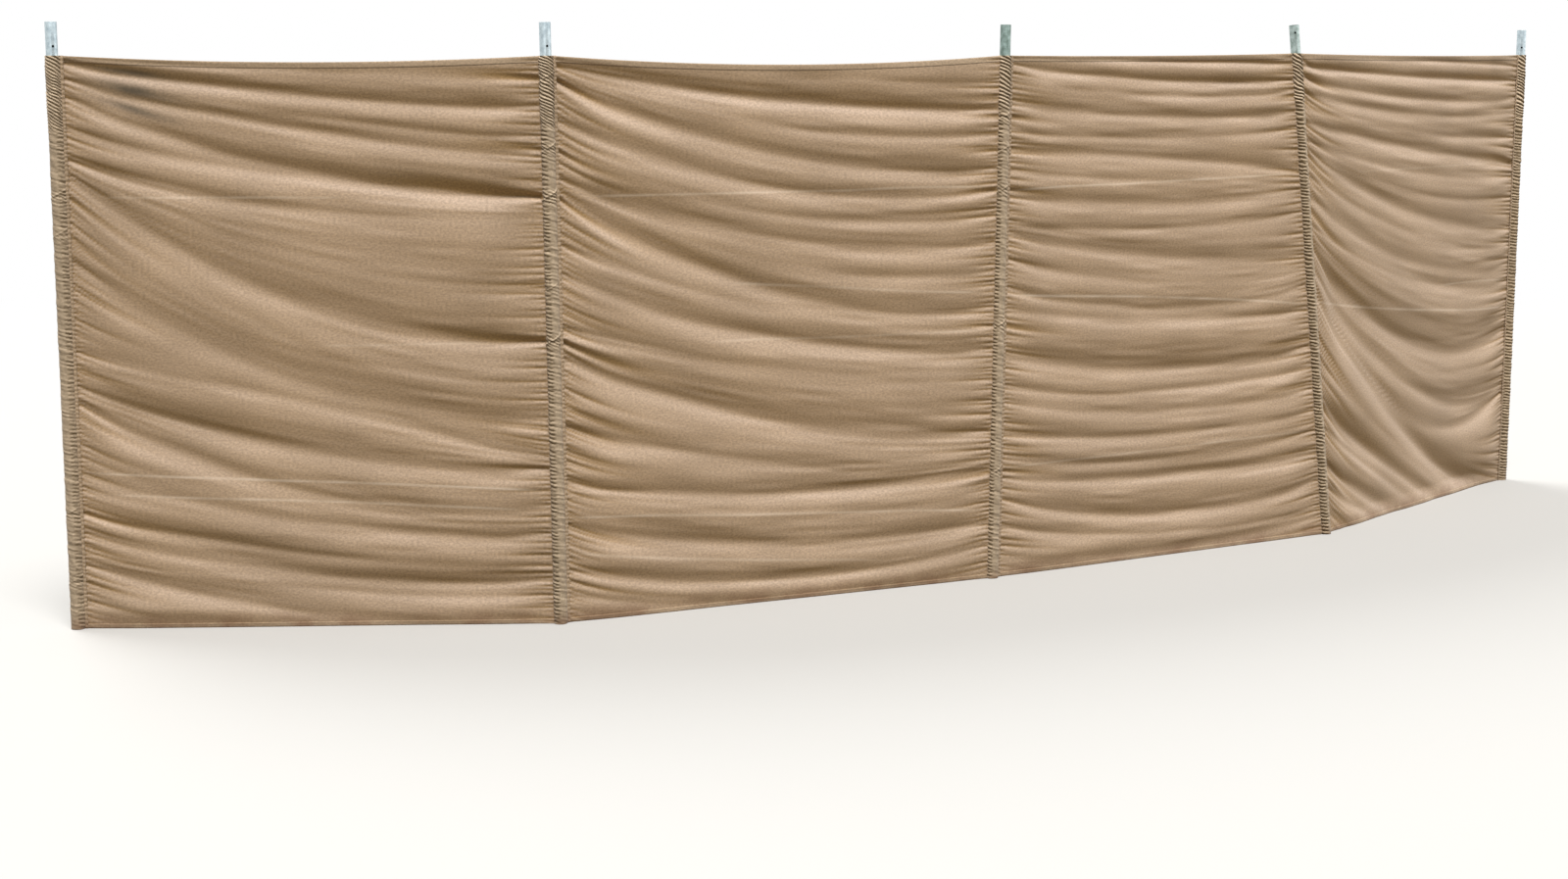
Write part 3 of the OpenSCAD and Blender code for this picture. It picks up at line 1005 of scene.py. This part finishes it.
stitches = 0
for k in POLES:
    b = flange_side[k][0]
    h = np.arange(ROW_FOOT, TOP_Z[k] - ROW_TOP, PITCH)
    middles, relief = flange_point(k, np.full_like(h, FLANGE_ROW), h)
    middles = middles + front[b] * (FLANGE_THICK / 2 + THREAD_R * FLANGE_LIFT)
    stitch_row(f"flange_stitches_{k + 1}", [(m, axis[k]) for m in middles], seam_thread, "canvas_seam")
    stitches += len(h)
for b in BAYS:
    u = np.arange(*ROW_ALONG, PITCH / bay_length[b])
    h = (1 - HEM_ROW / PANEL_FACES[1]) * (cloth_top(b, u) - UNDER_HEM)
    middles = panel_point(b, u, h)[0] + front[b] * (HEM_THICK / 2 + THREAD_R * HEM_LIFT)
    ways = np.gradient(middles, axis=0)
    stitch_row(f"top_hem_stitches_{b + 1}", list(zip(middles, ways)), hem_thread, "canvas_hem")
    stitches += len(h)
print("stitches:", stitches)

# %% [markdown]
# Galvanised steel: zinc has a dull grey-blue shine with faint crystal spangles. Poles 3 and 4 are older
# and have weathered to a darker, greener grey, pole 3 the most, so the colours are given for each. The
# spikes in their lower ends are bright drawn bar, with fine scratches that make its shine uneven.

# %% Steel


def zinc_material(name, dark, pale):
    """Hot-dip galvanised steel: a dull metal with spangles of differing roughness."""
    material, tree, shader = new_material(name)
    shader.inputs["Metallic"].default_value = 0.6
    spot = add_node(tree, "TexCoord").outputs["Object"]
    # Spangles are about 7 mm across, and the dull bloom on them comes in clouds of about 11 mm
    spangle = add_node(tree, "TexVoronoi", {"Vector": spot, "Scale": 140.0}).outputs["Color"]
    cloudy = add_node(tree, "TexNoise", {"Vector": spot, "Scale": 90.0, "Detail": 4.0}).outputs["Fac"]
    cloudy = add_node(tree, "MapRange", {0: cloudy, 1: 0.35, 2: 0.65}).outputs[0]
    toned = add_node(tree, "Mix", {"Factor": cloudy, 6: linear(dark), 7: linear(pale)},
                     data_type="RGBA").outputs[2]
    tree.links.new(toned, shader.inputs["Base Color"])
    rough = add_node(tree, "MapRange", {0: spangle, 3: 0.4, 4: 0.6}).outputs[0]
    tree.links.new(rough, shader.inputs["Roughness"])
    return material


new_zinc = zinc_material("galvanised_steel", "a2b0b6", "bfccd0")
half_weathered_zinc = zinc_material("half_weathered_galvanised_steel", "8b9a94", "b4c2be")
old_zinc = zinc_material("weathered_galvanised_steel", "66776f", "8d9f99")
tube_zinc = [new_zinc, new_zinc, old_zinc, half_weathered_zinc, new_zinc]

drawn_steel, tree, shader = new_material("bright_drawn_steel")
shader.inputs["Metallic"].default_value = 1.0
shader.inputs["Base Color"].default_value = linear("9a9a98")
spot = add_node(tree, "TexCoord").outputs["Object"]
scratches = add_node(tree, "TexNoise", {"Vector": spot, "Scale": 300.0}).outputs["Fac"]
dull = add_node(tree, "MapRange", {0: scratches, 3: 0.25, 4: 0.45}).outputs[0]
tree.links.new(dull, shader.inputs["Roughness"])

# No light gets far into a tube, so its inside is nearly black and has no shine
tube_inside_shade, tree, shader = new_material("unlit_tube_inside")
shader.inputs["Base Color"].default_value = linear("0c0d0d")
shader.inputs["Specular IOR Level"].default_value = 0.0
shader.inputs["Roughness"].default_value = 0.9
print("finishes of the tubes:", [material.name for material in tube_zinc])

# %% [markdown]
# Tubes. Each is a profile of its wall, with its rim rounded by the saw's deburring, spun round the
# pole's own axis. The inside is painted nearly black as painted shade, so that the hole near the top
# reads as a black dot. The hole is cut by a Boolean, at the place the record gives.

# %% Tubes
TUBE_R = 0.014
WALL = 0.001
RIM = 0.0004
HOLE_R = mounts["pole_hole_1"]["dims"]["r_mm"] / 1000
# The drill is long enough for one wall and ends inside the bore
DRILL = 0.012
TUBE_FACES = 48


def tube_mesh(name, start, direction, length):
    """An open tube from start along direction."""
    inside = TUBE_R - WALL
    # The rounded rim is one chamfer outside and one inside, each with a corner in its middle
    profile = [(inside, 0), (TUBE_R, 0), (TUBE_R, length - RIM),
               (TUBE_R - RIM * 0.3, length - RIM * 0.3), (TUBE_R - RIM, length),
               (inside + RIM * 0.3, length - RIM * 0.3), (inside, length - RIM)]
    bm = bmesh.new()
    corners = [bm.verts.new((r, 0, z)) for r, z in profile]
    edges = [bm.edges.new((corners[n - 1], corners[n])) for n in range(len(corners))]
    bmesh.ops.spin(bm, geom=corners + edges, axis=(0, 0, 1), cent=(0, 0, 0), dvec=(0, 0, 0),
                   angle=2 * math.pi, steps=TUBE_FACES, use_merge=True)
    bmesh.ops.recalc_face_normals(bm, faces=bm.faces)
    for face in bm.faces:
        face.smooth = True
        middle = face.calc_center_median()
        # The inside faces get the painted shade
        if math.hypot(middle.x, middle.y) < inside + 0.00002:
            face.material_index = 1
    bmesh.ops.transform(bm, matrix=placed(start, direction), verts=bm.verts)
    return mesh_from(bm, name)


def drill(piece, spot, direction):
    """Cuts a hole through one wall of a tube, and leaves the result as its mesh."""
    bm = bmesh.new()
    bmesh.ops.create_cone(bm, cap_ends=True, segments=32, radius1=HOLE_R, radius2=HOLE_R, depth=DRILL,
                          matrix=placed(spot, direction))
    cutter = bpy.data.objects.new("drill", mesh_from(bm, "drill"))
    scene.collection.objects.link(cutter)
    cut = piece.modifiers.new("hole", "BOOLEAN")
    cut.object = cutter
    cut.solver = "EXACT"
    bpy.context.view_layer.update()
    drilled = bpy.data.meshes.new_from_object(piece.evaluated_get(bpy.context.evaluated_depsgraph_get()))
    piece.modifiers.clear()
    piece.data = drilled
    drilled.name = piece.name
    # The cut edge of the hole gets the same painted shade as the inside
    for face in drilled.polygons:
        gap = Vector(face.center) - Vector(spot)
        off_axis = gap - Vector(direction) * gap.dot(Vector(direction))
        if off_axis.length < HOLE_R * 1.02:
            face.material_index = 1
    bpy.data.objects.remove(cutter)


for k in POLES:
    name = f"pole_{k + 1}"
    length = ((node_points(name) - foot[k]) @ axis[k]).max()
    mesh = tube_mesh(f"galvanised_tube_{k + 1}", foot[k], axis[k], length)
    tube = make_piece(mesh.name, mesh, tube_zinc[k], "galvanised_tube", name)
    mesh.materials.append(tube_inside_shade)
    hole = mounts[f"pole_hole_{k + 1}"]
    drill(tube, hole["pos_m"], hole["axis"])
    tube.data.set_sharp_from_angle(angle=math.radians(35))
    frame["nodes"][f"spike_{k + 1}"].material_slots[0].material = drawn_steel
    print(name, "length", round(length, 4), "faces", len(tube.data.polygons))

# %% [markdown]
# Sheets. Each panel was cut wider and higher than the bay it hangs in, because its slack and its hems
# use up cloth. The loop over the bays below is empty and declares nothing.

# %% Sheets
for b in BAYS:
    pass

# %% [markdown]
# Last, the size of the finished model beside the frame's own. The folds make them differ by a few
# millimetres.

# %% Sizes
low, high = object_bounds()
sizes = {"cad": [list(cad_low), list(cad_high)], "visual": [list(low), list(high)]}
print("cad", sizes["cad"], "visual", sizes["visual"])
